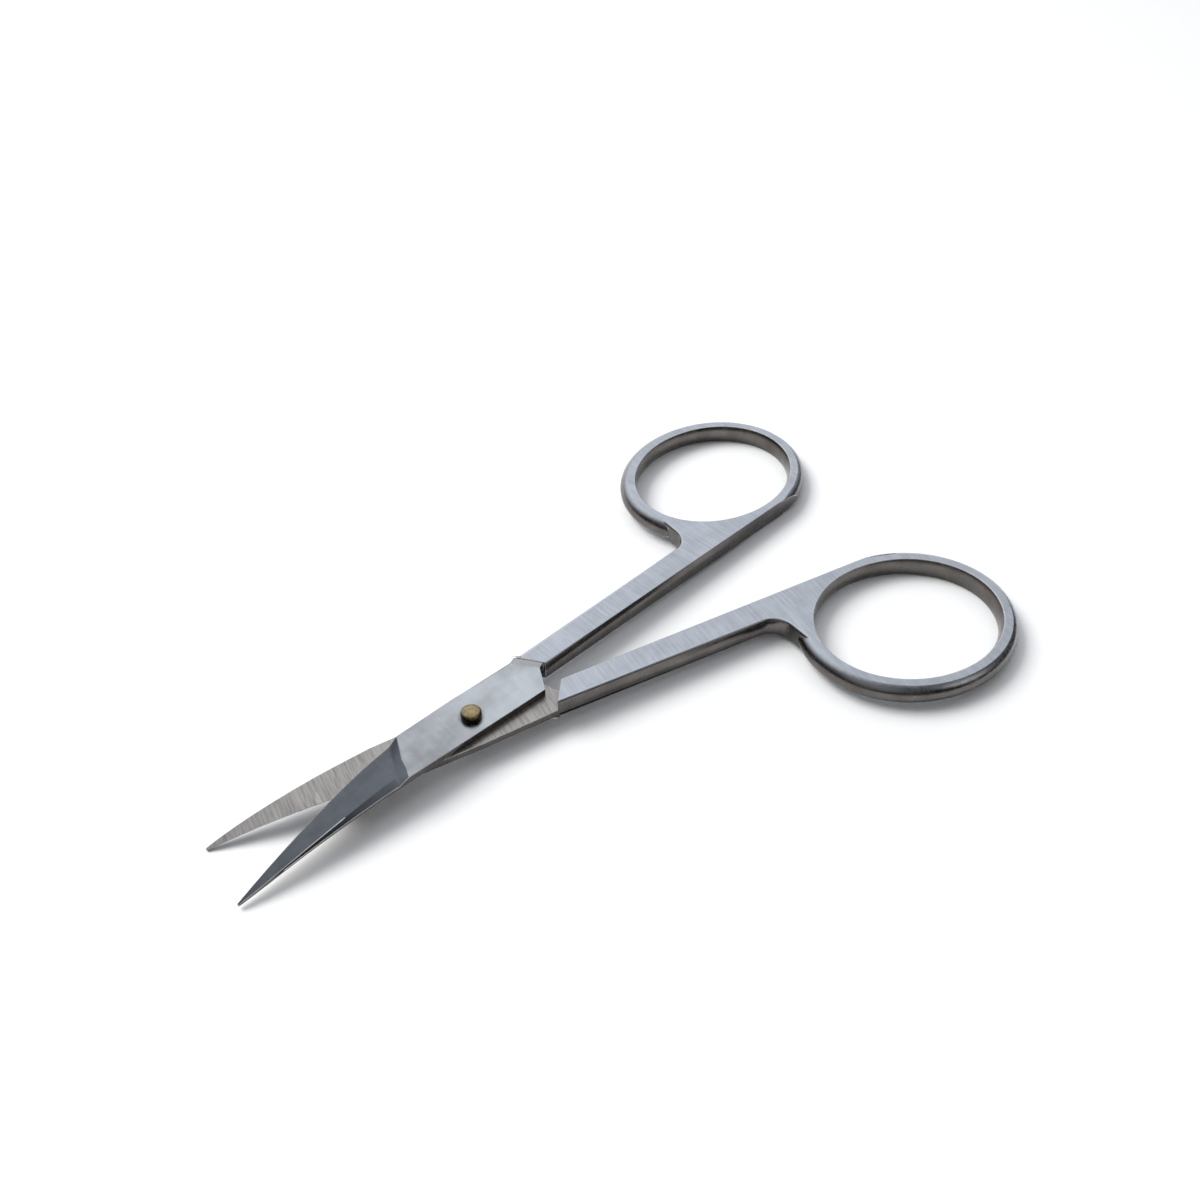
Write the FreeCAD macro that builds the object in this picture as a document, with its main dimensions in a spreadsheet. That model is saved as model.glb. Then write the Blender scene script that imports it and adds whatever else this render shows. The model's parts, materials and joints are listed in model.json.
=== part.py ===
"""Thread snips: small curved-blade embroidery scissors, three pieces on one pivot.

Two mirrored steel halves are lapped on each other and turn on a brass rivet. Each half is one
forging: a curved blade, a half-thick lap plate, a full-thick shank, a web and a finger ring.

Each half is drawn closed, in its own frame: the rivet's axis is Z, +X runs along the closed
seam to the rings, the lapped faces meet at z = 0 and the half's own ring is on its hand's side.
The three pieces are then set down half open on a table, standing on blade tips and rings.
"""
import FreeCAD, Part
import math
import os
import Sketcher

os.makedirs("parts", exist_ok=True)
doc = FreeCAD.newDocument("ThreadSnips")

# ---------------------------------------------------------------- driving dimensions (mm, deg)

DIMENSIONS = {
    "thick": 2.6,             # shank, web and ring, top face to bottom face
    "half_angle": 7.6,        # each half's turn from closed, as it rests
    "seam_gap": 0.16,         # between the two shanks when closed
    "ride_gap": 0.04,         # between the lapped faces
    "lap_step": 0.4,          # lap plate's outer face below the shank's
    "shank_start": 10.9,      # rivet to the inner corner of the shank's end
    "shank_rake": 2.0,        # how far the outer corner of that end lies behind it
    "shank_wide": 2.9,        # across the shank at the lap
    "shank_grow": 0.41,       # what it gains up to the web
    "web_lead": 1.1,          # how far the web's outer corner lies ahead of the ring's near rim
    "web_fillet": 2.6,        # round between shank and web
    "side_round": 0.35,       # round on the shank's outer edges
    "opening_long": 24.4,     # finger opening, along the shank, at the rim
    "opening_short": 19.4,    # finger opening, across
    "ring_flat": 1.0,         # flat rim of the ring
    "ring_swell": 0.3,        # how far the ring's inner wall swells into the opening
    "grind": 0.07,            # ground off the ring's raw section, above and below
    "ring_reach": 52.3,       # rivet to the middle of the ring, along the seam
    "ring_lap": 0.14,         # seam to the ring's rim
    "ring_turn": 1.1,         # ring's long axis off the seam
    "heel_lead": 2.2,         # ring's middle to where the straight inner edge leaves for the ring
    "heel_run": 4.0,          # from there to the corner that is buried in the ring's wall
    "heel_sink": 0.638,       # that corner, from the middle of the rim towards the seam
    "plate_out": 3.36,        # rivet to the lap plate's edge on the ring's side
    "plate_in": 2.15,         # rivet to the lap plate's other edge
    "plate_flare": 0.5,       # what the other edge gains at the free end
    "free_gap": 0.5,          # lap plate's free end to the outer corner of the other half's shank
    "free_rake": 1.8,         # how far the free end's upper corner lies ahead
    "plate_root": 0.6,        # how far the lap plate runs into the shank
    "plate_inset": 0.2,       # seam face to the plate's inner corner, inside the shank
    "ramp_run": 0.8,          # sloped step from lap plate up to shank
    "ramp_root": 0.3,         # how far the step runs into the shank
    "ramp_sink": 0.1,         # how far its foot is sunk into the lap plate
    "shoulder_near": 7.5,     # rivet to the blade's shoulder, at the cutting edge
    "shoulder_far": 9.8,      # the same, at the back
    "scoop_run": 1.2,         # how far the shoulder's slope runs into the blade
    "reach": 29.35,           # rivet to the blade's tip
    "bend_start": 8.0,        # rivet to where the blade starts to curve down
    "bend_radius": 73.0,      # of that curve
    "blade_thick": 0.8,       # blade at the shoulder, at its ridge
    "edge_wide": 3.22,        # seam to the cutting edge, where the blade starts
    "back_wide": 1.9,         # seam to the blade's back, at the shoulder
    "back_bow": 0.75,         # below 1, the back bows outwards on its way to the tip
    "back_share": 0.6,        # the back's thickness, as a share of the ridge's
    "ridge_inset": 0.55,      # at the shoulder, the share of the back's width outside the ridge
    "edge_land": 0.12,        # cutting edge's thickness
    "tip_thick": 0.28,        # blade at the tip
    "tip_wide": 0.3,          # across the tip
    "tip_set": 0.1,           # how far the tip's middle lies past the seam
    "tip_relief": 0.05,       # what each blade stands off the other at the tip
    "pin_wide": 1.7,          # rivet's shank
    "pin_clear": 0.03,        # round the rivet in the moving half, and under its head
    "head_wide": 2.3,         # rivet's brass head
    "head_proud": 1.0,        # above the lap plate
    "head_dome": 0.25,        # the head's round top
    "foot_wide": 2.8,         # peened end, below
    "foot_proud": 0.25,
}


class Size:
    """A number and the sheet formula that gives it, so that each use stays bound to the sheet."""

    def __init__(self, value, formula):
        self.value = value
        self.formula = formula

    def __add__(self, other):
        other = as_size(other)
        return Size(self.value + other.value, "(%s + %s)" % (self.formula, other.formula))

    def __sub__(self, other):
        other = as_size(other)
        return Size(self.value - other.value, "(%s - %s)" % (self.formula, other.formula))

    def __mul__(self, other):
        other = as_size(other)
        return Size(self.value * other.value, "(%s * %s)" % (self.formula, other.formula))

    def __truediv__(self, other):
        other = as_size(other)
        return Size(self.value / other.value, "(%s / %s)" % (self.formula, other.formula))

    def __neg__(self):
        return Size(-self.value, "(-1 * %s)" % self.formula)

    def __radd__(self, other):
        return as_size(other) + self

    def __rsub__(self, other):
        return as_size(other) - self

    def __rmul__(self, other):
        return as_size(other) * self


def as_size(number):
    return number if isinstance(number, Size) else Size(float(number), "%.6f" % number)


def sine(angle):
    return Size(math.sin(math.radians(angle.value)), "sin(%s)" % angle.formula)


def cosine(angle):
    return Size(math.cos(math.radians(angle.value)), "cos(%s)" % angle.formula)


def arctangent(slope):
    return Size(math.degrees(math.atan(slope.value)), "atan(%s)" % slope.formula)


def root(number):
    return Size(math.sqrt(number.value), "sqrt(%s)" % number.formula)


def power(number, exponent):
    return Size(number ** exponent.value, "(%.6f ^ %s)" % (number, exponent.formula))


def at_least_nothing(number):
    return Size(max(0.0, number.value), "max(0; %s)" % number.formula)


def dimension_sheet():
    """Write the driving dimensions to the sheet and return them as sizes."""
    sheet = doc.addObject("Spreadsheet::Sheet", "Sizes")
    sizes = {}
    for row, (name, value) in enumerate(DIMENSIONS.items(), start=1):
        sheet.set("A%d" % row, name)
        sheet.set("B%d" % row, str(value))
        sheet.setAlias("B%d" % row, name)
        sizes[name] = Size(value, "Sizes.%s" % name)
    doc.recompute()
    return sizes


D = dimension_sheet()
NOTHING = as_size(0)

# ------------------------------------------------- sizes that follow from the driving dimensions

half_thick = D["thick"] / 2
plate_top = half_thick - D["lap_step"]
half_ride = D["ride_gap"] / 2
seam_side = D["seam_gap"] / 2
rim_middle_long = (D["opening_long"] + D["ring_flat"]) / 2
rim_middle_short = (D["opening_short"] + D["ring_flat"]) / 2
ring_side = D["opening_short"] / 2 + D["ring_flat"] + D["ring_lap"]
rim_left = D["ring_reach"] - rim_middle_long
web_start = rim_left - D["web_lead"]
heel_start = D["ring_reach"] + D["heel_lead"]
shank_start_out = D["shank_start"] - D["shank_rake"]
free_end = shank_start_out - D["free_gap"]

# The ring's raw section: a half round outside, a slight swell inside, flat above and below.
raw_half = half_thick + D["grind"]
rim_to_centre = root(raw_half * raw_half - half_thick * half_thick)
ring_outwards = raw_half - rim_to_centre


def blade_drop(x):
    """How far the blade's lapped face has curved down at x."""
    run = at_least_nothing(-x - D["bend_start"])
    return D["bend_radius"] - root(D["bend_radius"] * D["bend_radius"] - run * run)


def ring_end(side_growth):
    """Farthest point of a resting ring from the rivet, along the table."""
    turn = D["ring_turn"] + D["half_angle"]
    along = (rim_middle_long + side_growth) * cosine(turn)
    across = (rim_middle_short + side_growth) * sine(turn)
    middle = D["ring_reach"] * cosine(D["half_angle"]) - ring_side * sine(D["half_angle"])
    return middle + root(along * along + across * across)


# The pair rests on the lower blade's tip and on both rings' far ends, so it leans a little.
tip_depth = blade_drop(-D["reach"]) + half_ride + D["tip_relief"] + D["tip_thick"]
tip_run = D["reach"] * cosine(D["half_angle"])
ring_run = ring_end(D["ring_flat"] / 2)
lean = arctangent((tip_depth - half_thick) / (tip_run + ring_run))
rivet_height = ring_run * sine(lean) + half_thick * cosine(lean)
ring_far = ring_end(D["ring_flat"] / 2 + ring_outwards) * cosine(lean) + half_thick * sine(lean)
tip_far = tip_run * cosine(lean) + tip_depth * sine(lean)
rivet_place = (tip_far - ring_far) / 2


# ---------------------------------------------------------------------- sketching and placing

def bind(thing, field, size):
    thing.setExpression(field, size.formula)


def new_body(name):
    body = doc.addObject("PartDesign::Body", name)
    body.Label = name
    doc.recompute()
    return body


def new_sketch(body, name, plane, place=(NOTHING, NOTHING, NOTHING), spin_axis=None, spin=NOTHING):
    """A sketch on one of the body's origin planes, moved and turned within that plane's frame."""
    sketch = body.newObject("Sketcher::SketchObject", name)
    origin = [item for item in body.Origin.OriginFeatures if item.Role == plane][0]
    sketch.AttachmentSupport = [(origin, "")]
    sketch.MapMode = "FlatFace"
    if spin_axis is None:
        for axis, size in zip("xyz", place):
            bind(sketch, "AttachmentOffset.Base.%s" % axis, size)
    else:
        where = "vector(%s; %s; %s)" % tuple(size.formula for size in place)
        turn = "rotation(vector(%d; %d; %d); %s)" % (spin_axis + (spin.formula,))
        sketch.setExpression("AttachmentOffset", "placement(%s; %s)" % (where, turn))
    doc.recompute()
    return sketch


def hold(sketch, geometry, point, x, y):
    """Hold one point of a sketch at two sizes."""
    for kind, size in (("DistanceX", x), ("DistanceY", y)):
        index = sketch.addConstraint(Sketcher.Constraint(kind, -1, 1, geometry, point, size.value))
        bind(sketch, "Constraints[%d]" % index, size)


def flat(x, y):
    return FreeCAD.Vector(x.value, y.value, 0)


def draw_outline(sketch, corners):
    """A closed outline of straight lines, with every corner held."""
    count = len(corners)
    for index, corner in enumerate(corners):
        following = corners[(index + 1) % count]
        sketch.addGeometry(Part.LineSegment(flat(*corner), flat(*following)), False)
    for index, corner in enumerate(corners):
        sketch.addConstraint(Sketcher.Constraint("Coincident", (index - 1) % count, 2, index, 1))
        hold(sketch, index, 1, *corner)
    doc.recompute()


def draw_ellipse(sketch, half_long, half_short):
    """An ellipse on the sketch's own origin, its long axis along the sketch's x."""
    centre = FreeCAD.Vector(0, 0, 0)
    ellipse = Part.Ellipse(flat(half_long, NOTHING), flat(NOTHING, half_short), centre)
    sketch.addGeometry(ellipse, False)
    sketch.exposeInternalGeometry(0)
    sketch.addConstraint(Sketcher.Constraint("Coincident", 0, 3, -1, 1))
    sketch.addConstraint(Sketcher.Constraint("Horizontal", 1))
    for axis, half in ((1, half_long), (2, half_short)):
        index = sketch.addConstraint(Sketcher.Constraint("Distance", axis, 2 * half.value))
        bind(sketch, "Constraints[%d]" % index, 2 * half)
    doc.recompute()


def draw_ring_section(sketch, middle, half_flat):
    """The ring's raw section: flat above and below, half round outside, slightly swelled inside."""
    outer = middle + half_flat - rim_to_centre
    inner = middle - half_flat
    inner_radius = (raw_half * raw_half + D["ring_swell"] * D["ring_swell"]) / (2 * D["ring_swell"])
    corners = [(inner, raw_half), (outer, raw_half), (outer, -raw_half), (inner, -raw_half)]
    points = [flat(*corner) for corner in corners]
    outermost = flat(outer + raw_half, NOTHING)
    innermost = flat(inner - D["ring_swell"], NOTHING)
    sketch.addGeometry(Part.LineSegment(points[0], points[1]), False)
    sketch.addGeometry(Part.Arc(points[2], outermost, points[1]), False)
    sketch.addGeometry(Part.LineSegment(points[2], points[3]), False)
    sketch.addGeometry(Part.Arc(points[0], innermost, points[3]), False)
    sketch.addConstraint(Sketcher.Constraint("Coincident", 0, 2, 1, 2))
    sketch.addConstraint(Sketcher.Constraint("Coincident", 1, 1, 2, 1))
    sketch.addConstraint(Sketcher.Constraint("Coincident", 2, 2, 3, 2))
    sketch.addConstraint(Sketcher.Constraint("Coincident", 3, 1, 0, 1))
    hold(sketch, 0, 1, *corners[0])
    hold(sketch, 0, 2, *corners[1])
    hold(sketch, 2, 1, *corners[2])
    hold(sketch, 2, 2, *corners[3])
    centre = sketch.addConstraint(Sketcher.Constraint("DistanceX", -1, 1, 1, 3, outer.value))
    bind(sketch, "Constraints[%d]" % centre, outer)
    index = sketch.addConstraint(Sketcher.Constraint("Radius", 3, inner_radius.value))
    bind(sketch, "Constraints[%d]" % index, inner_radius)
    doc.recompute()


def new_feature(body, kind, name):
    """A feature that keeps the faces as they are cut, because merging them upsets later cuts."""
    feature = body.newObject("PartDesign::" + kind, name)
    feature.Refine = False
    return feature


def pad(body, sketch, name, length, both_ways=False, downwards=False):
    feature = new_feature(body, "Pad", name)
    feature.Profile = sketch
    bind(feature, "Length", length)
    feature.Midplane = both_ways
    feature.Reversed = downwards
    doc.recompute()
    return feature


def cut_through(body, sketch, name, both_ways=True, upwards=False):
    """Cut a sketch right through the body, and make sure that it took metal away."""
    before = body.Shape.Volume
    feature = new_feature(body, "Pocket", name)
    feature.Profile = sketch
    feature.Type = "ThroughAll"
    feature.Midplane = both_ways
    feature.Reversed = upwards
    doc.recompute()
    if not feature.Shape.Volume < before:
        raise RuntimeError("%s of %s cut nothing" % (name, body.Label))
    return feature


def loft(body, sketches, name, ruled):
    feature = new_feature(body, "AdditiveLoft", name)
    feature.Profile = sketches[0]
    feature.Sections = sketches[1:]
    feature.Ruled = ruled
    doc.recompute()
    return feature


def lay_down(body, turn):
    """Turn a piece about the rivet, lean it and set it on the table."""
    place = "vector(%s; 0; %s)" % (rivet_place.formula, rivet_height.formula)
    leaning = "rotation(vector(0; 1; 0); %s)" % lean.formula
    turned = "rotation(vector(0; 0; 1); %s)" % turn.formula
    body.setExpression("Placement", "placement(%s; %s * %s)" % (place, leaning, turned))
    doc.recompute()


# --------------------------------------------------------------------------------- one half

def shank_outer(x):
    """The shank's outer edge, which widens evenly from the lap to the web."""
    share = (x - shank_start_out) / (web_start - shank_start_out)
    return seam_side + D["shank_wide"] + D["shank_grow"] * share


def rim_middle(x):
    """How far the middle of the ring's rim lies from the seam at x, on the seam's side."""
    share = (x - D["ring_reach"]) / rim_middle_long
    return ring_side - rim_middle_short * root(1 - share * share)


def add_shank_and_ring(body, hand):
    """Shank, web and finger ring, at full thickness on both sides of the lapped face."""
    heel_end = heel_start + D["heel_run"]
    corners = [
        (shank_start_out, hand * shank_outer(shank_start_out)),
        (web_start, hand * shank_outer(web_start)),
        (rim_left, hand * ring_side),
        (D["ring_reach"], hand * ring_side),
        (heel_end, hand * (rim_middle(heel_end) - D["heel_sink"])),
        (heel_start, hand * seam_side),
        (D["shank_start"], hand * seam_side),
    ]
    outline = new_sketch(body, "ShankOutline", "XY_Plane")
    draw_outline(outline, corners)
    shank = pad(body, outline, "Shank", D["thick"], both_ways=True)

    web_corner = new_feature(body, "Fillet", "WebRound")
    web_corner.Base = (shank, upright_edges(shank.Shape, corners[1]))
    bind(web_corner, "Radius", D["web_fillet"])
    doc.recompute()

    sides = new_feature(body, "Fillet", "SideRounds")
    sides.Base = (web_corner, outer_rims(web_corner.Shape, hand))
    bind(sides, "Radius", D["side_round"])
    doc.recompute()

    ring_place = (D["ring_reach"], hand * ring_side, NOTHING)
    ring_turn = hand * D["ring_turn"]
    path = new_sketch(body, "RingPath", "XY_Plane", ring_place, (0, 0, 1), ring_turn)
    draw_ellipse(path, rim_middle_long, rim_middle_short)
    cut_through(body, path, "FingerOpening")

    section_place = (D["ring_reach"], NOTHING, -(hand * ring_side))
    section = new_sketch(body, "RingSection", "XZ_Plane", section_place, (0, 1, 0), ring_turn)
    draw_ring_section(section, rim_middle_long, D["ring_flat"] / 2)
    ring = new_feature(body, "AdditivePipe", "Ring")
    ring.Profile = section
    ring.Spine = (path, ["Edge1"])
    doc.recompute()

    near = D["shank_start"] / 2
    far = D["ring_reach"] + D["opening_long"]
    beyond = -(hand * D["shank_wide"])
    outside = hand * (D["ring_reach"] + D["opening_short"])
    for name, side in (("GroundTop", 1), ("GroundUnderside", -1)):
        sheet = new_sketch(body, name + "Outline", "XY_Plane", (NOTHING, NOTHING, side * half_thick))
        draw_outline(sheet, [(near, beyond), (far, beyond), (far, outside), (near, outside)])
        cut_through(body, sheet, name, both_ways=False, upwards=side > 0)

    seam = new_sketch(body, "SeamCut", "XY_Plane")
    draw_outline(seam, [
        (near, beyond),
        (far, beyond),
        (far, hand * seam_side),
        (near, hand * seam_side),
    ])
    cut_through(body, seam, "GroundSeam")


# Lengths and places nearer than this are the same (mm).
SAME_PLACE = 1e-3


def upright_edges(shape, corner):
    """Names of the edges that stand on a corner of the outline."""
    names = []
    for index, edge in enumerate(shape.Edges, start=1):
        middle = edge.CenterOfMass
        stands = abs(edge.BoundBox.ZLength - edge.Length) < SAME_PLACE
        off_corner = math.hypot(middle.x - corner[0].value, middle.y - corner[1].value)
        if stands and off_corner < SAME_PLACE:
            names.append("Edge%d" % index)
    return names


def outer_rims(shape, hand):
    """Names of the top and bottom edges along the shank's and web's outer side."""
    shank_middle = seam_side + D["shank_wide"] / 2
    names = []
    for index, edge in enumerate(shape.Edges, start=1):
        middle = edge.CenterOfMass
        on_face = abs(abs(middle.z) - half_thick.value) < SAME_PLACE
        outer = hand * middle.y > shank_middle.value
        along_side = D["shank_start"].value < middle.x < rim_left.value
        if on_face and outer and along_side:
            names.append("Edge%d" % index)
    return names


def plate_corners(hand):
    """The lap plate: from the blade's shoulder to its free end, past the shank's end."""
    outer_edge = shank_outer(shank_start_out)
    inner_corner = seam_side + D["plate_inset"]
    return [
        (-D["shoulder_near"], hand * D["plate_out"]),
        (NOTHING, hand * D["plate_out"]),
        (shank_start_out, hand * outer_edge),
        (shank_start_out + D["plate_root"], hand * outer_edge),
        (D["shank_start"] + D["plate_root"], hand * inner_corner),
        (free_end + D["free_rake"], hand * inner_corner),
        (free_end, -(hand * (D["plate_in"] + D["plate_flare"]))),
        (-D["shoulder_far"], -(hand * D["back_wide"])),
    ]


def add_lap_plate(body, hand, layer):
    """The half-thick plate, on its own side of the lapped face, with its sloped step."""
    outline = new_sketch(body, "PlateOutline", "XY_Plane", (NOTHING, NOTHING, layer * half_ride))
    draw_outline(outline, plate_corners(hand))
    pad(body, outline, "LapPlate", plate_top - half_ride, downwards=layer < 0)

    sunk = plate_top - D["ramp_sink"]
    ends = []
    for name, foot, across in (
        ("StepOuter", shank_start_out, shank_outer(shank_start_out)),
        ("StepInner", D["shank_start"], seam_side + D["plate_inset"]),
    ):
        # On the XZ plane a sketch's own normal points along -Y.
        sketch = new_sketch(body, name, "XZ_Plane", (NOTHING, NOTHING, -(hand * across)))
        draw_outline(sketch, [
            (foot - D["ramp_run"], layer * plate_top),
            (foot, layer * half_thick),
            (foot + D["ramp_root"], layer * half_thick),
            (foot + D["ramp_root"], layer * sunk),
            (foot - D["ramp_run"], layer * sunk),
        ])
        ends.append(sketch)
    loft(body, ends, "SlopedStep", ruled=True)


def blade_section(body, name, hand, layer, station, shoulder=False):
    """One cross-section of the blade: cutting edge, ridge and back, on the curved lapped face.

    The station runs from 1 at the shoulder to 0 at the tip. Sections near the shoulder are
    slanted, in line with it, and they straighten towards the tip.
    """
    slant_run = D["shoulder_far"] - D["shoulder_near"]
    slant_wide = D["plate_out"] + D["back_wide"]
    root_x = -(D["shoulder_near"] + slant_run * (D["plate_out"] / slant_wide))
    slant = 1.0 if station == 1 or shoulder else 0.0
    start_x = root_x if shoulder else root_x - D["scoop_run"]
    x = start_x * station - D["reach"] * (1 - station)
    angle = arctangent(slant_run / slant_wide) * slant

    tip_edge = D["tip_wide"] / 2 - D["tip_set"]
    tip_back = D["tip_wide"] / 2 + D["tip_set"]
    edge = tip_edge + (D["edge_wide"] - tip_edge) * station
    back = tip_back + (D["back_wide"] - tip_back) * power(station, D["back_bow"])
    ridge = back * (1 - D["ridge_inset"] * station)
    high = D["tip_thick"] + (D["blade_thick"] - D["tip_thick"]) * station
    land = D["edge_land"]
    back_high = high * D["back_share"]
    if shoulder:
        edge = D["plate_out"]
        high = plate_top - half_ride
        land = high
        back_high = high

    tilt_tip = D["tip_relief"] * (1 - station) * (1 - station)

    def face(across):
        """The lapped face's height where the section crosses it."""
        if shoulder:
            return layer * half_ride
        here = x + across * (slant_run / slant_wide) * slant
        return layer * (half_ride + tilt_tip) - blade_drop(here)

    def point(across, height):
        return (hand * across / cosine(angle), face(across) + layer * height)

    sketch = new_sketch(body, name, "YZ_Plane", (NOTHING, NOTHING, x), (0, 1, 0), -(hand * angle))
    draw_outline(sketch, [
        point(edge, NOTHING),
        point(edge, land),
        point(-ridge, high),
        point(-back, back_high),
        point(-back, NOTHING),
    ])
    return sketch


# Where the blade's cross-sections stand, from its shoulder (1) to its tip (0).
BLADE_STATIONS = (1, 0.8, 0.58, 0.36, 0.16, 0)


def add_blade(body, hand, layer):
    """The curved blade: a ground slope at the shoulder, then a hollow run to the tip."""
    shoulder = blade_section(body, "BladeShoulder", hand, layer, 1, shoulder=True)
    first = blade_section(body, "BladeRoot", hand, layer, 1)
    loft(body, [shoulder, first], "Scoop", ruled=True)
    run = []
    for number, station in enumerate(BLADE_STATIONS):
        run.append(blade_section(body, "Blade%d" % number, hand, layer, station))
    loft(body, run, "Blade", ruled=False)


def add_bore(body, radius):
    """The hole for the rivet."""
    sketch = new_sketch(body, "BoreOutline", "XY_Plane")
    circle = Part.Circle(FreeCAD.Vector(0, 0, 0), FreeCAD.Vector(0, 0, 1), radius.value)
    sketch.addGeometry(circle, False)
    sketch.addConstraint(Sketcher.Constraint("Coincident", 0, 3, -1, 1))
    index = sketch.addConstraint(Sketcher.Constraint("Radius", 0, radius.value))
    bind(sketch, "Constraints[%d]" % index, radius)
    doc.recompute()
    cut_through(body, sketch, "Bore")


def make_half(name, hand, layer, bore_radius):
    """One forged half. Its ring is on the hand's side and its plate on the layer's side."""
    body = new_body(name)
    add_shank_and_ring(body, hand)
    add_lap_plate(body, hand, layer)
    add_blade(body, hand, layer)
    add_bore(body, bore_radius)
    lay_down(body, hand * D["half_angle"])
    return body


# ---------------------------------------------------------------------------------- the rivet

def make_rivet(name):
    """Brass rivet: a proud head with a round top, a plain shank and a peened end."""
    body = new_body(name)
    pin = D["pin_wide"] / 2
    head = D["head_wide"] / 2
    foot = D["foot_wide"] / 2
    head_under = plate_top + D["pin_clear"]
    head_top = plate_top + D["head_proud"]
    flank_top = head_top - D["head_dome"]
    foot_under = -(plate_top + D["foot_proud"])
    corners = [
        (NOTHING, foot_under),
        (foot, foot_under),
        (foot, -plate_top),
        (pin, -plate_top),
        (pin, head_under),
        (head, head_under),
        (head, flank_top),
        (NOTHING, head_top),
    ]
    sketch = new_sketch(body, "RivetSection", "XZ_Plane")
    count = len(corners)
    dome_radius = (head * head + D["head_dome"] * D["head_dome"]) / (2 * D["head_dome"])
    bulge_angle = math.asin(head.value / dome_radius.value) / 2
    bulge = FreeCAD.Vector(
        dome_radius.value * math.sin(bulge_angle),
        head_top.value - dome_radius.value * (1 - math.cos(bulge_angle)),
        0,
    )
    for index, corner in enumerate(corners):
        following = corners[(index + 1) % count]
        if index == count - 2:
            sketch.addGeometry(Part.Arc(flat(*corner), bulge, flat(*following)), False)
        else:
            sketch.addGeometry(Part.LineSegment(flat(*corner), flat(*following)), False)
    dome = count - 2
    # An arc runs anticlockwise, from the head's rim (its start) to the top (its end).
    for index, corner in enumerate(corners):
        sketch.addConstraint(Sketcher.Constraint("Coincident", (index - 1) % count, 2, index, 1))
        hold(sketch, index, 1, *corner)
    radius_index = sketch.addConstraint(Sketcher.Constraint("Radius", dome, dome_radius.value))
    bind(sketch, "Constraints[%d]" % radius_index, dome_radius)
    doc.recompute()
    turned = new_feature(body, "Revolution", "Rivet")
    turned.Profile = sketch
    turned.ReferenceAxis = (sketch, ["V_Axis"])
    turned.Angle = 360
    doc.recompute()
    lay_down(body, NOTHING)
    return body


# ------------------------------------------------------------------------------ the assembly

UP = 1
DOWN = -1
pieces = [
    make_half("upper_half", UP, UP, D["pin_wide"] / 2 + D["pin_clear"]),
    make_half("lower_half", DOWN, DOWN, D["pin_wide"] / 2),
    make_rivet("pivot_rivet"),
]
doc.recompute()

for item in doc.Objects:
    if "Invalid" in item.State or "Error" in item.State:
        raise RuntimeError("%s failed: %s" % (item.Label, item.State))

for piece in pieces:
    shape = piece.Shape
    if shape.isNull() or not shape.isValid() or len(shape.Solids) != 1:
        raise RuntimeError("%s is not one valid solid" % piece.Label)
    shape.exportStep("parts/%s.step" % piece.Label)
    box = shape.BoundBox
    print(
        "%-12s %8.2f mm3  x %.2f..%.2f  y %.2f..%.2f  z %.2f..%.2f"
        % (piece.Label, shape.Volume, box.XMin, box.XMax, box.YMin, box.YMax, box.ZMin, box.ZMax)
    )
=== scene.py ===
import json
import math

import bpy
from mathutils import Matrix, Vector
from mathutils.kdtree import KDTree


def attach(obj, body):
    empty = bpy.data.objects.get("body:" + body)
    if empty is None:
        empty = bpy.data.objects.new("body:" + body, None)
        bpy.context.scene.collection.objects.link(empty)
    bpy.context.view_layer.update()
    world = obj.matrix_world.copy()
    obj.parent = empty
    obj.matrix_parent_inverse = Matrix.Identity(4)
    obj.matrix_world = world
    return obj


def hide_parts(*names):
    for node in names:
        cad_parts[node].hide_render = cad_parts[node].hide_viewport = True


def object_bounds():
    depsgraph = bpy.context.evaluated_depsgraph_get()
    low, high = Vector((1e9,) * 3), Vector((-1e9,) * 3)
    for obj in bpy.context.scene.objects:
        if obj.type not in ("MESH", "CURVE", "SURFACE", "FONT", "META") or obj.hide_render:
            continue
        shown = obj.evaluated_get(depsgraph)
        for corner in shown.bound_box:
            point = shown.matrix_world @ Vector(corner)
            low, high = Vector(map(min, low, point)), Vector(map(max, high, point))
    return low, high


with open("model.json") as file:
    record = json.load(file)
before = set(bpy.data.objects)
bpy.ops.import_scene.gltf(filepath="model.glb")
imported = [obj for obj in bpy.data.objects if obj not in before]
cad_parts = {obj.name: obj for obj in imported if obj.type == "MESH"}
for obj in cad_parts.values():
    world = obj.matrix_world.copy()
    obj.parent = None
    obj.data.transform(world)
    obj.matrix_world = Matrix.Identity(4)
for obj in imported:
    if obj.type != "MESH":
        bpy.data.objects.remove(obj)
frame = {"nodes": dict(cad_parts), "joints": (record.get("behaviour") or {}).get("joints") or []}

cad_low, cad_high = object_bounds()
bpy.ops.object.select_all(action="DESELECT")
bpy.context.scene.view_settings.view_transform = "Standard"


# ---------------------------------------------------------------- upper half
# The half whose blade lies on top, one stainless steel forging from finger ring to curved
# blade. Its flats are ground across their length, its rims are tumbled, and the rivet clamps
# its thin lap plate over the plate of the lower half.
MM = 0.001
CROSSING_ANGLE = math.radians(7.6)  # each half is turned this far from the middle line at rest
hinge = frame["joints"][0]
hinge_axis = Vector(hinge["axis"]).normalized()
hinge_lean = math.atan2(hinge_axis.x, hinge_axis.z)
plates_meet = Vector(hinge["pos_m"])  # on the hinge, at the height where the two plates meet

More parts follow.
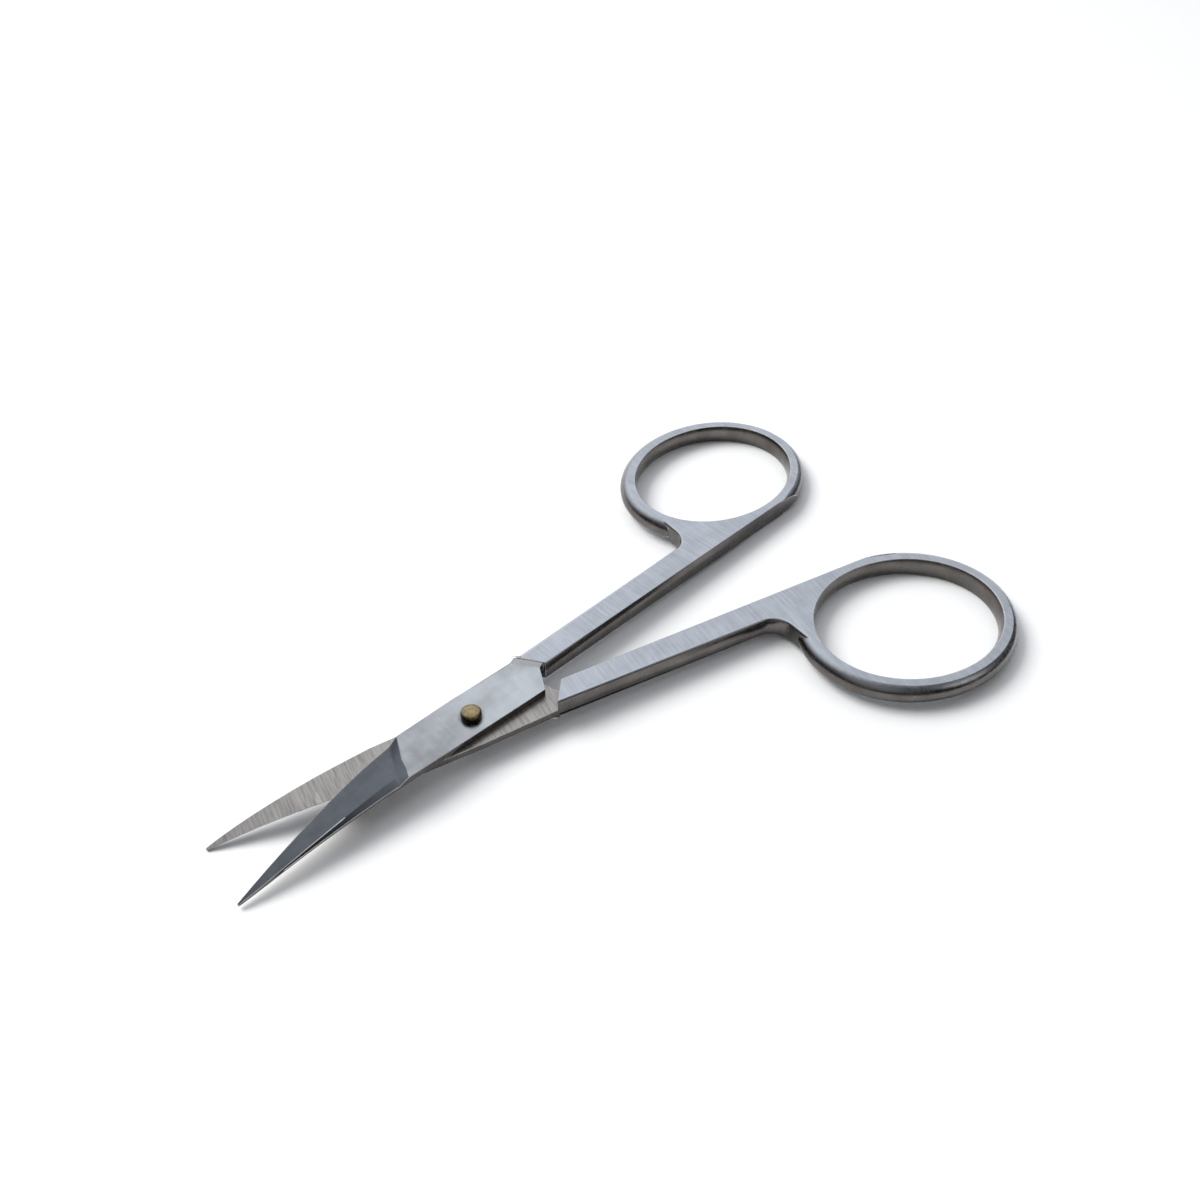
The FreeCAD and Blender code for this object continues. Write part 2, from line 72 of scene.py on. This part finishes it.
WELD_DISTANCE = 1e-6
CRISP_EDGE = math.radians(34)
RING_ROLL = 0.10 * MM  # how far the ring's outer edge is rolled over, for the fingers
BROKEN_EDGE = 0.60  # what the wheel took off the other crisp edges, as a share of that
RING_START = 40.0  # along the half, in mm from the hinge
GROUND_FLAT = 0.997  # cosine to the grinding wheel's plane, past which a face is a flat
SAME_SURFACE = 0.97  # cosine between two facets that belong to one curved surface
FLAT_ENOUGH = 0.95  # cosine past which a face counts as one of the ring's flats
NEAR_SQUARE = (1.0, 1.42)  # how far a flat and a rim turn from each other, in radians
CORNERS_NEAR = 14  # forged corners looked at for each corner of the bevelled mesh
CROWN = 0.75  # how far a rim's upper edge leans back from upright, as a slope
UPRIGHT_WITHIN = 0.3  # cosine to the half's through direction, past which a rim isn't upright
FADE_TO_RING, FADE_FROM_PLATE = 4.0, 1.5  # the lengths over which the crown fades out, in mm
CROWN_REACH, CROWN_LIFT = 0.40, 0.35  # how far through the shank the crown spreads

ground_flat_colour = (0.440, 0.455, 0.485)
ground_flat_shade = (0.290, 0.302, 0.328)
lap_plate_colour = (0.450, 0.462, 0.475)
lap_plate_shade = (0.310, 0.316, 0.324)
# the rims' colours are far darker than steel: a painted shade for the shadow and dark reflections
# on their walls
tumbled_rim_painted_shade_colour = (0.165, 0.153, 0.144)
tumbled_rim_painted_shade_dark = (0.100, 0.091, 0.085)
# the scoop and bevel colours are far darker than steel: a painted shade for the dark reflections
# they show
hollow_grind_painted_shade_colour = (0.115, 0.123, 0.134)
hollow_grind_painted_shade_dark = (0.078, 0.084, 0.093)
honed_face_colour = (0.368, 0.344, 0.322)
honed_face_shade = (0.160, 0.148, 0.138)
# the broken edges are lighter than the flats: partly real wear, partly a painted highlight along
# the edges
worn_edge_painted_highlight_colour = (0.600, 0.598, 0.590)
worn_edge_painted_highlight_shade = (0.380, 0.378, 0.374)
# the sloped step is nearly white: a painted highlight for the bright light it catches
filed_step_painted_highlight_colour = (0.970, 0.962, 0.940)
filed_step_painted_highlight_shade = (0.820, 0.812, 0.790)


def half_place(turn):
    """From a half's own directions (along it, across it, through it) to the frame's."""
    lean = Matrix.Rotation(hinge_lean, 4, "Y")
    return Matrix.Translation(plates_meet) @ lean @ Matrix.Rotation(turn, 4, "Z")


RIVET_SHADE_FROM, RIVET_SHADE_TO, RIVET_SHADE = 1.15, 1.60, 1.2  # the painted shade round the rivet's head, in mm from the hinge, and its depth
DARKEN_FROM, DARKEN_TO = -9.5 * MM, 3.5 * MM  # along the plate, over which it darkens towards the blade
HIGHLIGHT_FROM, HIGHLIGHT_TO = 0.40, 0.97  # cosines to the half's through direction, over which the rims' painted highlight comes in


def steel_finish(name, turn, colour, shade, roughness, marks_per_mm, mark_depth, contrast,
                 shade_round_rivet=False, darken_to_blade=0.0, painted_upper_highlight=None):
    """Stainless steel with grinding marks, stray scratches, clouding and finger smudges."""
    finish = bpy.data.materials.new(name)
    finish.use_nodes = True
    nodes, links = finish.node_tree.nodes, finish.node_tree.links
    steel = nodes["Principled BSDF"]
    steel.inputs["Metallic"].default_value = 1.0
    steel.inputs["IOR"].default_value = 2.5

    def node(kind, **settings):
        made = nodes.new(kind)
        for key, value in settings.items():
            setattr(made, key, value)
        return made

    def noise(scale, detail, per_mm):
        spread = node("ShaderNodeMapping")
        spread.inputs["Scale"].default_value = [s / MM for s in per_mm]
        links.new(own.outputs["Vector"], spread.inputs["Vector"])
        made = node("ShaderNodeTexNoise")
        made.inputs["Scale"].default_value = scale
        made.inputs["Detail"].default_value = detail
        made.inputs["Roughness"].default_value = 0.62
        links.new(spread.outputs["Vector"], made.inputs["Vector"])
        return made.outputs["Fac"]

    def window(value, low, high, to_low=0.0, to_high=1.0):
        made = node("ShaderNodeMapRange")
        made.inputs["From Min"].default_value = low
        made.inputs["From Max"].default_value = high
        made.inputs["To Min"].default_value = to_low
        made.inputs["To Max"].default_value = to_high
        links.new(value, made.inputs["Value"])
        return made.outputs["Result"]

    def maths(operation, first, second):
        made = node("ShaderNodeMath", operation=operation)
        for socket, value in zip(made.inputs, (first, second)):
            if isinstance(value, (int, float)):
                socket.default_value = value
            else:
                links.new(value, socket)
        return made.outputs["Value"]

    # the half's own directions, so that the marks lie across it and turn with it
    coordinates = node("ShaderNodeTexCoord")
    own = node("ShaderNodeMapping", vector_type="TEXTURE")
    place = half_place(turn)
    own.inputs["Location"].default_value = place.to_translation()
    own.inputs["Rotation"].default_value = place.to_euler()
    links.new(coordinates.outputs["Object"], own.inputs["Vector"])

    marks = noise(1.0, 5.0, marks_per_mm)
    coarse_marks = noise(1.0, 3.0, [m * 0.42 for m in marks_per_mm])
    scratches = window(noise(1.0, 2.0, (2.6, 0.22, 0.6)), 0.66, 0.74)
    clouds = noise(1.0, 2.0, (0.22, 0.34, 0.32))
    smudges = noise(1.0, 3.0, (0.75, 0.75, 0.75))
    pits = window(noise(1.0, 2.0, (7.0, 7.0, 7.0)), 0.70, 0.78)

    # tone: marks and clouding move it between the shade and the colour
    marked = maths("MULTIPLY", window(marks, 0.30, 0.70), contrast)
    coarse = maths("MULTIPLY", window(coarse_marks, 0.34, 0.66), contrast * 0.8)
    clouded = maths("MULTIPLY", window(clouds, 0.34, 0.66), 1.0 - contrast)
    tone = maths("ADD", maths("ADD", marked, coarse), clouded)
    tone = maths("ADD", tone, maths("MULTIPLY", scratches, 0.5))
    tone = maths("SUBTRACT", tone, maths("MULTIPLY", pits, 0.2))
    if darken_to_blade:
        # the plate's colour darkens towards the blade
        apart = node("ShaderNodeSeparateXYZ")
        links.new(own.outputs["Vector"], apart.inputs["Vector"])
        tone = maths("SUBTRACT", tone, window(apart.outputs["X"], DARKEN_FROM, DARKEN_TO,
                                              darken_to_blade, 0.0))
    if shade_round_rivet:
        # painted shade: a dark ring round the rivet's head, darkest at its edge and fading
        # outwards
        apart = node("ShaderNodeSeparateXYZ")
        links.new(own.outputs["Vector"], apart.inputs["Vector"])
        along = maths("POWER", maths("MULTIPLY", apart.outputs["X"], 1 / MM), 2.0)
        across = maths("POWER", maths("MULTIPLY", apart.outputs["Y"], 1 / MM), 2.0)
        distance = maths("SQRT", maths("ADD", along, across), 0.0)
        tone = maths("SUBTRACT", tone, window(distance, RIVET_SHADE_FROM, RIVET_SHADE_TO, RIVET_SHADE, 0.0))
    mix = node("ShaderNodeMix", data_type="RGBA")
    colours = [s for s in mix.inputs if s.type == "RGBA"]
    colours[0].default_value = (*shade, 1)
    colours[1].default_value = (*colour, 1)
    links.new(window(tone, -1.2, 1.2, -1.0, 1.0), mix.inputs["Factor"])
    mix.clamp_factor = False
    toned = [s for s in mix.outputs if s.type == "RGBA"][0]
    if painted_upper_highlight:
        # painted highlight: where a rim's curve turns to face up or down, its colour goes over to
        # the flats' brighter colour
        upward = node("ShaderNodeVectorMath", operation="DOT_PRODUCT")
        upward.inputs[1].default_value = place.to_3x3() @ Vector((0, 0, 1))
        links.new(coordinates.outputs["Normal"], upward.inputs[0])
        brightened = node("ShaderNodeMix", data_type="RGBA")
        layers = [s for s in brightened.inputs if s.type == "RGBA"]
        links.new(toned, layers[0])
        layers[1].default_value = (*painted_upper_highlight, 1)
        upper = window(maths("ABSOLUTE", upward.outputs["Value"], 0.0), HIGHLIGHT_FROM, HIGHLIGHT_TO)
        links.new(upper, brightened.inputs["Factor"])
        toned = [s for s in brightened.outputs if s.type == "RGBA"][0]
    links.new(toned, steel.inputs["Base Color"])

    # gloss: rougher in the marks and smudges, brighter where a scratch is fresh
    gloss = window(maths("ADD", marks, smudges), 0.7, 1.3, roughness - 0.06, roughness + 0.08)
    gloss = maths("SUBTRACT", gloss, maths("MULTIPLY", scratches, 0.08))
    links.new(gloss, steel.inputs["Roughness"])

    # relief: the depth of the grinding marks, the scratches and the pits
    relief = maths("ADD", marks, maths("MULTIPLY", coarse_marks, 0.6))
    relief = maths("SUBTRACT", relief, maths("MULTIPLY", scratches, 0.35))
    relief = maths("SUBTRACT", relief, maths("MULTIPLY", pits, 0.25))
    bump = node("ShaderNodeBump")
    bump.inputs["Strength"].default_value = 1.0
    bump.inputs["Distance"].default_value = mark_depth * MM
    links.new(relief, bump.inputs["Height"])
    links.new(bump.outputs["Normal"], steel.inputs["Normal"])
    return finish


def half_finishes(which, turn):
    """A half's finishes, in the order of its material slots."""
    return [
        steel_finish(f"{which}_tumbled_rims_painted_shade", turn, tumbled_rim_painted_shade_colour, tumbled_rim_painted_shade_dark,
                     roughness=0.24, marks_per_mm=(1.2, 1.2, 0.8), mark_depth=0.0012,
                     contrast=0.30, painted_upper_highlight=ground_flat_colour),
        steel_finish(f"{which}_ground_flats", turn, ground_flat_colour, ground_flat_shade,
                     roughness=0.33, marks_per_mm=(6.0, 0.30, 0.30), mark_depth=0.005,
                     contrast=0.65),
        steel_finish(f"{which}_lap_plate", turn, lap_plate_colour, lap_plate_shade,
                     roughness=0.28, marks_per_mm=(4.0, 0.30, 0.30), mark_depth=0.003,
                     contrast=0.20, shade_round_rivet=True, darken_to_blade=0.9),
        steel_finish(f"{which}_hollow_grind", turn, hollow_grind_painted_shade_colour, hollow_grind_painted_shade_dark,
                     roughness=0.27, marks_per_mm=(5.0, 0.25, 0.30), mark_depth=0.003,
                     contrast=0.30),
        steel_finish(f"{which}_honed_face", turn, honed_face_colour, honed_face_shade,
                     roughness=0.36, marks_per_mm=(8.5, 0.50, 0.50), mark_depth=0.009,
                     contrast=0.90),
        steel_finish(f"{which}_worn_edges_painted_highlight", turn, worn_edge_painted_highlight_colour, worn_edge_painted_highlight_shade,
                     roughness=0.30, marks_per_mm=(1.0, 1.0, 1.0), mark_depth=0.001,
                     contrast=0.50),
        steel_finish(f"{which}_filed_step_painted_highlight", turn, filed_step_painted_highlight_colour, filed_step_painted_highlight_shade,
                     roughness=0.20, marks_per_mm=(0.40, 3.0, 0.40), mark_depth=0.002,
                     contrast=0.45),
    ]


RIMS, FLATS, LAP_PLATE, HOLLOW_GRIND, HONED_FACE, WORN_EDGES_PAINTED_HIGHLIGHT, FILED_STEP_PAINTED_HIGHLIGHT = range(7)
# along the half, in mm from the hinge
LAP_END, SHANK_START, BLADE_START = 9.5, 9.0, -7.4
PLATE_GONE = -9.9  # no lap plate is left past here
SCOOP_END = -11.3  # the ground slope at the blade's shoulder runs out here
STEP_FROM, STEP_TO = LAP_END - 2, LAP_END + 3
# through the half, in mm
PLATE_THICK = 0.90
PLATE_FACE = PLATE_THICK - 0.02  # anything at this height is still the plate's outer face
INNER_FACE_HEIGHT = 0.12  # the two inner faces nearly touch at the hinge, so both lie this near
# how squarely a face looks inwards (1) or outwards (-1)
BLADE_INNER, BLADE_OUTER, PLATE_INNER, PLATE_OUTER = 0.8, -0.5, 0.95, -0.9
STEP_SLOPE = (-0.97, -0.6)


def on_bevel(along, through, inner_side):
    """True below the lap plate's outer face, where the blade is ground away."""
    return -through * inner_side < PLATE_FACE or along < PLATE_GONE


def crowned(normal, own, through):
    """A tumbled rim's normal: it leans back more towards the upper edge, and not on the ring."""
    upright = max(1.0 - (normal.dot(through) / UPRIGHT_WITHIN) ** 2, 0.0)
    off_ring = min(max((RING_START - own.x) / FADE_TO_RING, 0.0), 1.0)
    off_plate = min(max((own.x - SHANK_START) / FADE_FROM_PLATE, 0.0), 1.0)
    lean_back = max(own.z / (PLATE_THICK + CROWN_REACH) + CROWN_LIFT, 0.0)
    return (normal + through * (CROWN * lean_back * upright * off_ring * off_plate)).normalized()


def keep_forged_curves(half, forged, to_own):
    """Gives each face the forged surface's own normals, blended over edges and in the scoop."""
    through = to_own.inverted().to_3x3() @ Vector((0, 0, 1))
    corners = KDTree(len(forged.loops))
    facing = []
    for face in forged.polygons:
        for corner in face.loop_indices:
            place = forged.vertices[forged.loops[corner].vertex_index].co
            corners.insert(place, len(facing))
            facing.append((face.normal.copy(), forged.corner_normals[corner].vector.copy()))
    corners.balance()

    smooth = [None] * len(half.loops)
    beside = {}
    scooped = {}
    for face in half.polygons:
        if face.material_index == WORN_EDGES_PAINTED_HIGHLIGHT:
            continue
        for corner in face.loop_indices:
            vertex = half.loops[corner].vertex_index
            near = corners.find_n(half.vertices[vertex].co, CORNERS_NEAR)
            alike = [f[1] for f in near if facing[f[1]][0].dot(face.normal) > SAME_SURFACE]
            best = max((f[1] for f in near), key=lambda n: facing[n][0].dot(face.normal))
            smooth[corner] = facing[alike[0] if alike else best][1]
            own = to_own @ half.vertices[vertex].co / MM
            if face.material_index == RIMS:
                smooth[corner] = crowned(smooth[corner], own, through)
            beside.setdefault(vertex, []).append(smooth[corner])
            if face.material_index == HOLLOW_GRIND and own.x > SCOOP_END:
                scooped.setdefault(vertex, []).append(corner)
    # the wheel left the scoop at the blade's shoulder as one curve, with no crease in it
    for corners_there in scooped.values():
        blended = sum((smooth[corner] for corner in corners_there), Vector()).normalized()
        for corner in corners_there:
            smooth[corner] = blended
    for face in half.polygons:
        if face.material_index == WORN_EDGES_PAINTED_HIGHLIGHT:
            for corner in face.loop_indices:
                vertex = half.loops[corner].vertex_index
                sides = beside.get(vertex, [half.vertices[vertex].normal])
                smooth[corner] = sum(sides, Vector()).normalized()
    half.normals_split_custom_set(smooth)


def mark_edges(half, to_own):
    """Marks the crisp edges that get broken: the ring's outer edges most, the rest a little."""
    sides = {}
    for face in half.polygons:
        for key in face.edge_keys:
            sides.setdefault(key, []).append(face.normal)
    weights = half.attributes.new("bevel_weight_edge", "FLOAT", "EDGE")
    for edge in half.edges:
        first, second = sides[tuple(sorted(edge.vertices))]
        turned = first.angle(second, 0.0)
        ends = [to_own @ half.vertices[v].co / MM for v in edge.vertices]
        if turned < CRISP_EDGE:
            continue
        on_ring = min(end.x for end in ends) > RING_START
        beside_flat = max(abs(first.z), abs(second.z)) > FLAT_ENOUGH
        rolled = on_ring and beside_flat and NEAR_SQUARE[0] < turned < NEAR_SQUARE[1]
        weights.data[edge.index].value = 1.0 if rolled else BROKEN_EDGE


def finished_half(name, node, turn, inner_side):
    """A welded copy of the forged half, each of its faces given the finish it was ground to."""
    forged = frame["nodes"][node].data
    half = bpy.data.objects.new(name, forged.copy())
    bpy.context.scene.collection.objects.link(half)
    half.select_set(True)
    bpy.context.view_layer.objects.active = half
    half.data.materials.clear()
    for finish in half_finishes(name, turn):
        half.data.materials.append(finish)

    bpy.ops.object.mode_set(mode="EDIT")
    bpy.ops.mesh.select_all(action="SELECT")
    bpy.ops.mesh.customdata_custom_splitnormals_clear()
    bpy.ops.mesh.remove_doubles(threshold=WELD_DISTANCE)
    bpy.ops.mesh.select_all(action="DESELECT")
    bpy.ops.object.mode_set(mode="OBJECT")

    to_own = half_place(turn).inverted()
    for face in half.data.polygons:
        along, across, through = (to_own @ face.center) / MM
        inwards = (to_own.to_3x3() @ face.normal).z * inner_side
        ground = inwards < BLADE_OUTER and on_bevel(along, through, inner_side)
        if along < BLADE_START and inwards > BLADE_INNER:
            face.material_index = HONED_FACE
        elif along < BLADE_START and ground:
            face.material_index = HOLLOW_GRIND
        elif abs(through) < INNER_FACE_HEIGHT and inwards > PLATE_INNER:
            face.material_index = HONED_FACE
        elif STEP_FROM < along < STEP_TO and STEP_SLOPE[0] < inwards < STEP_SLOPE[1]:
            face.material_index = FILED_STEP_PAINTED_HIGHLIGHT
        elif along < LAP_END and inwards < PLATE_OUTER:
            face.material_index = LAP_PLATE
        elif abs(inwards) > GROUND_FLAT:
            face.material_index = FLATS
        else:
            face.material_index = RIMS

    mark_edges(half.data, to_own)
    broken = half.modifiers.new("broken_edges", "BEVEL")
    broken.limit_method = "WEIGHT"
    broken.width = RING_ROLL
    broken.segments = 2
    broken.use_clamp_overlap = False
    broken.material = WORN_EDGES_PAINTED_HIGHLIGHT
    bpy.ops.object.shade_smooth()
    bpy.ops.object.modifier_apply(modifier=broken.name)
    keep_forged_curves(half.data, forged, to_own)
    half.select_set(False)
    return half


upper = finished_half("upper_half_steel", "upper_half", CROSSING_ANGLE, -1)
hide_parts("upper_half")
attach(upper, "upper")


# ---------------------------------------------------------------- lower half
# The mirror twin of the upper half, forged and ground in the same way. Its lap plate and its
# blade lie under the joint, so its scratched inner face shows past the open upper blade.
lower = finished_half("lower_half_steel", "lower_half", -CROSSING_ANGLE, 1)
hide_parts("lower_half")
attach(lower, "lower")


# ---------------------------------------------------------------- rivet
# A turned brass rivet through both plates. Its head stands proud with a low worn dome, and its
# far end is peened over the underside. It is fixed in the lower half, which turns round it.
TOP_RADIUS = 0.30 * MM
HEAD_RADIUS, STEM_RADIUS, FOOT_RADIUS = 1.15 * MM, 0.85 * MM, 1.40 * MM
HEAD_FROM, HEAD_RIM, DOME = 0.905 * MM, 1.62 * MM, 0.26 * MM
FOOT_FROM, FOOT_TO = -0.90 * MM, -1.13 * MM
TURNS = 72
SHARP_TURN = math.radians(40)

bpy.ops.mesh.primitive_circle_add(vertices=TURNS, radius=TOP_RADIUS, fill_type="NGON",
                                  location=(0, 0, HEAD_RIM + DOME))
rivet = bpy.context.object
rivet.name = "rivet_turned"
bpy.ops.object.transform_apply(location=True, rotation=True, scale=True)
bpy.ops.object.mode_set(mode="EDIT")
bpy.ops.mesh.select_mode(type="EDGE")
bpy.ops.mesh.select_all(action="SELECT")
bpy.ops.mesh.region_to_loop()


def turn_on(radius, height, last):
    """Draws the turned outline on from the last ring to a new radius and height."""
    bpy.ops.mesh.extrude_edges_move(TRANSFORM_OT_translate={"value": (0, 0, height - last[1])})
    share = radius / last[0]
    bpy.ops.transform.resize(value=(share, share, 1), center_override=(0, 0, 0))
    return radius, height


ring = (TOP_RADIUS, HEAD_RIM + DOME)
for radius, height in (
        (0.55 * MM, HEAD_RIM + 0.235 * MM), (0.80 * MM, HEAD_RIM + 0.180 * MM),
        (0.97 * MM, HEAD_RIM + 0.110 * MM), (1.07 * MM, HEAD_RIM + 0.030 * MM),
        (1.13 * MM, HEAD_RIM - 0.070 * MM), (HEAD_RADIUS, HEAD_RIM - 0.180 * MM),
        (1.14 * MM, HEAD_FROM + 0.130 * MM), (1.08 * MM, HEAD_FROM + 0.030 * MM),
        (1.03 * MM, HEAD_FROM), (STEM_RADIUS, HEAD_FROM), (STEM_RADIUS, 0.0),
        (STEM_RADIUS, FOOT_FROM), (1.30 * MM, FOOT_FROM), (FOOT_RADIUS, FOOT_FROM - 0.05 * MM),
        (1.37 * MM, FOOT_FROM - 0.13 * MM), (1.18 * MM, FOOT_FROM - 0.20 * MM),
        (0.80 * MM, FOOT_TO), (0.35 * MM, FOOT_TO - 0.01 * MM)):
    ring = turn_on(radius, height, ring)
bpy.ops.mesh.edge_face_add()
bpy.ops.mesh.select_all(action="SELECT")
bpy.ops.mesh.normals_make_consistent(inside=False)
bpy.ops.mesh.select_mode(type="VERT")
bpy.ops.mesh.select_all(action="DESELECT")
bpy.ops.object.mode_set(mode="OBJECT")
rivet.data.transform(half_place(0.0))
bpy.ops.object.shade_smooth_by_angle(angle=SHARP_TURN)


def worn_brass_painted_shade():
    """Brass, bright on the dome and darkening to nearly black down the flank, a painted shade."""
    brass = bpy.data.materials.new("worn_brass_painted_shade")
    brass.use_nodes = True
    nodes, links = brass.node_tree.nodes, brass.node_tree.links
    metal = nodes["Principled BSDF"]
    metal.inputs["Metallic"].default_value = 1.0
    coordinates = nodes.new("ShaderNodeTexCoord")
    own = nodes.new("ShaderNodeMapping")
    own.vector_type = "TEXTURE"
    place = half_place(0.0)
    own.inputs["Location"].default_value = place.to_translation()
    own.inputs["Rotation"].default_value = place.to_euler()
    links.new(coordinates.outputs["Object"], own.inputs["Vector"])
    apart = nodes.new("ShaderNodeSeparateXYZ")
    links.new(own.outputs["Vector"], apart.inputs["Vector"])
    grain = nodes.new("ShaderNodeTexNoise")
    grain.inputs["Scale"].default_value = 2.6 / MM
    grain.inputs["Detail"].default_value = 5.0
    links.new(own.outputs["Vector"], grain.inputs["Vector"])

    # how far up the flank the painted shade reaches, with an uneven edge
    uneven = nodes.new("ShaderNodeMath")
    uneven.operation = "MULTIPLY_ADD"
    uneven.inputs[1].default_value = 0.22 * MM
    links.new(grain.outputs["Fac"], uneven.inputs[0])
    links.new(apart.outputs["Z"], uneven.inputs[2])
    painted_shade_by_height = nodes.new("ShaderNodeMapRange")
    painted_shade_by_height.inputs["From Min"].default_value = HEAD_RIM - 0.02 * MM
    painted_shade_by_height.inputs["From Max"].default_value = HEAD_RIM + 0.26 * MM
    links.new(uneven.outputs["Value"], painted_shade_by_height.inputs["Value"])
    tone = nodes.new("ShaderNodeValToRGB")
    tone.color_ramp.elements[0].color = (0.014, 0.010, 0.006, 1)
    tone.color_ramp.elements[1].color = (0.33, 0.262, 0.145, 1)
    tone.color_ramp.elements.new(0.45).color = (0.085, 0.06, 0.03, 1)
    links.new(painted_shade_by_height.outputs["Result"], tone.inputs["Fac"])
    spots = nodes.new("ShaderNodeMix")
    spots.data_type = "RGBA"
    spots.blend_type = "MULTIPLY"
    spots.inputs["Factor"].default_value = 0.55
    colours = [socket for socket in spots.inputs if socket.type == "RGBA"]
    links.new(tone.outputs["Color"], colours[0])
    speckle = nodes.new("ShaderNodeValToRGB")
    speckle.color_ramp.elements[0].position = 0.34
    speckle.color_ramp.elements[0].color = (0.42, 0.36, 0.28, 1)
    speckle.color_ramp.elements[1].position = 0.62
    speckle.color_ramp.elements[1].color = (1, 1, 1, 1)
    links.new(grain.outputs["Fac"], speckle.inputs["Fac"])
    links.new(speckle.outputs["Color"], colours[1])
    mixed = [socket for socket in spots.outputs if socket.type == "RGBA"][0]
    links.new(mixed, metal.inputs["Base Color"])
    gloss = nodes.new("ShaderNodeMapRange")
    gloss.inputs["To Min"].default_value = 0.42
    gloss.inputs["To Max"].default_value = 0.26
    links.new(grain.outputs["Fac"], gloss.inputs["Value"])
    links.new(gloss.outputs["Result"], metal.inputs["Roughness"])
    dents = nodes.new("ShaderNodeBump")
    dents.inputs["Distance"].default_value = 0.012 * MM
    dents.inputs["Strength"].default_value = 1.0
    links.new(grain.outputs["Fac"], dents.inputs["Height"])
    links.new(dents.outputs["Normal"], metal.inputs["Normal"])
    return brass


rivet.data.materials.append(worn_brass_painted_shade())
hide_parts("pivot_rivet")
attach(rivet, "lower")
rivet.select_set(False)


# ---------------------------------------------------------------- floor
# A plain pale sheet under the snips. It isn't part of them.
FLOOR_HALF = 1.5
bpy.ops.mesh.primitive_plane_add(size=2 * FLOOR_HALF, location=(0, 0, cad_low.z))
floor = bpy.context.object
floor.name = "floor"
bpy.ops.object.transform_apply(location=True, rotation=True, scale=True)
pale = bpy.data.materials.new("pale_floor")
pale.use_nodes = True
matt = pale.node_tree.nodes["Principled BSDF"]
matt.inputs["Base Color"].default_value = (0.92, 0.92, 0.92, 1)
matt.inputs["Roughness"].default_value = 0.9
matt.inputs["Specular IOR Level"].default_value = 0.1
floor.data.materials.append(pale)
floor.select_set(False)


# ---------------------------------------------------------------- light
# A large soft window behind and above, a fainter one beside, a small bright one in front that
# lights the broken edges, and a room that darkens towards the horizon.
world = bpy.data.worlds.new("studio")
bpy.context.scene.world = world
world.use_nodes = True
sky = world.node_tree
background = sky.nodes["Background"]
direction = sky.nodes.new("ShaderNodeTexCoord")


def soft_patch(towards, tones):
    """A patch of the room, brightest in one direction and fading away from it."""
    nearness = sky.nodes.new("ShaderNodeVectorMath")
    nearness.operation = "DOT_PRODUCT"
    nearness.inputs[1].default_value = Vector(towards).normalized()
    sky.links.new(direction.outputs["Generated"], nearness.inputs[0])
    fade = sky.nodes.new("ShaderNodeValToRGB")
    fade.color_ramp.elements[0].position, fade.color_ramp.elements[0].color = tones[0]
    fade.color_ramp.elements[1].position, fade.color_ramp.elements[1].color = tones[-1]
    for nearness_there, tone in tones[1:-1]:
        fade.color_ramp.elements.new(nearness_there).color = tone
    sky.links.new(nearness.outputs["Value"], fade.inputs["Fac"])
    return fade.outputs["Color"]


behind = soft_patch((0.25, 0.62, 0.74), (
    (0.05, (0.030, 0.026, 0.024, 1)), (0.36, (0.070, 0.068, 0.070, 1)),
    (0.52, (0.22, 0.23, 0.25, 1)), (0.76, (0.88, 0.92, 0.97, 1)), (0.97, (1.30, 1.36, 1.44, 1))))
beside = soft_patch((-0.62, -0.42, 0.66), (
    (0.66, (0, 0, 0, 1)), (0.84, (0.08, 0.082, 0.086, 1)), (0.96, (0.30, 0.31, 0.33, 1))))
in_front = soft_patch((0.43, -0.67, 0.55), (
    (0.93, (0, 0, 0, 1)), (0.97, (0.30, 0.30, 0.29, 1)), (0.99, (0.95, 0.95, 0.92, 1))))


def together(first, second):
    """The light of two patches of the room."""
    both = sky.nodes.new("ShaderNodeVectorMath")
    both.operation = "ADD"
    sky.links.new(first, both.inputs[0])
    sky.links.new(second, both.inputs[1])
    return both.outputs["Vector"]


sky.links.new(together(together(behind, beside), in_front), background.inputs["Color"])
background.inputs["Strength"].default_value = 1.0

window_light = bpy.data.lights.new("window_light", "AREA")
window_light.shape = "RECTANGLE"
window_light.size = 0.60
window_light.size_y = 0.50
window_light.energy = 7.6
window_light.color = (1.0, 0.99, 0.97)
window_lamp = bpy.data.objects.new("window_light", window_light)
bpy.context.scene.collection.objects.link(window_lamp)
window_lamp.visible_glossy = False
window_lamp.location = (-0.31, 0.54, 0.67)
window_lamp.rotation_mode = "QUATERNION"
window_lamp.rotation_quaternion = (-window_lamp.location).to_track_quat("-Z", "Y")


# ---------------------------------------------------------------- camera
# Over the near end of the blades, looking down along the snips at about 44 degrees.
camera_data = bpy.data.cameras.new("camera")
camera_data.lens = 31.5
camera_data.sensor_width = 36.0
camera_data.clip_start = 0.005
camera = bpy.data.objects.new("camera", camera_data)
bpy.context.scene.collection.objects.link(camera)
right, up, back = (0.799, -0.6015, 0.0), (0.420, 0.558, 0.716), (-0.4306, -0.5719, 0.6983)
camera.matrix_world = (Matrix.Translation((-0.0501, -0.0662, 0.0919))
                       @ Matrix((right, up, back)).transposed().to_4x4())
bpy.context.scene.camera = camera
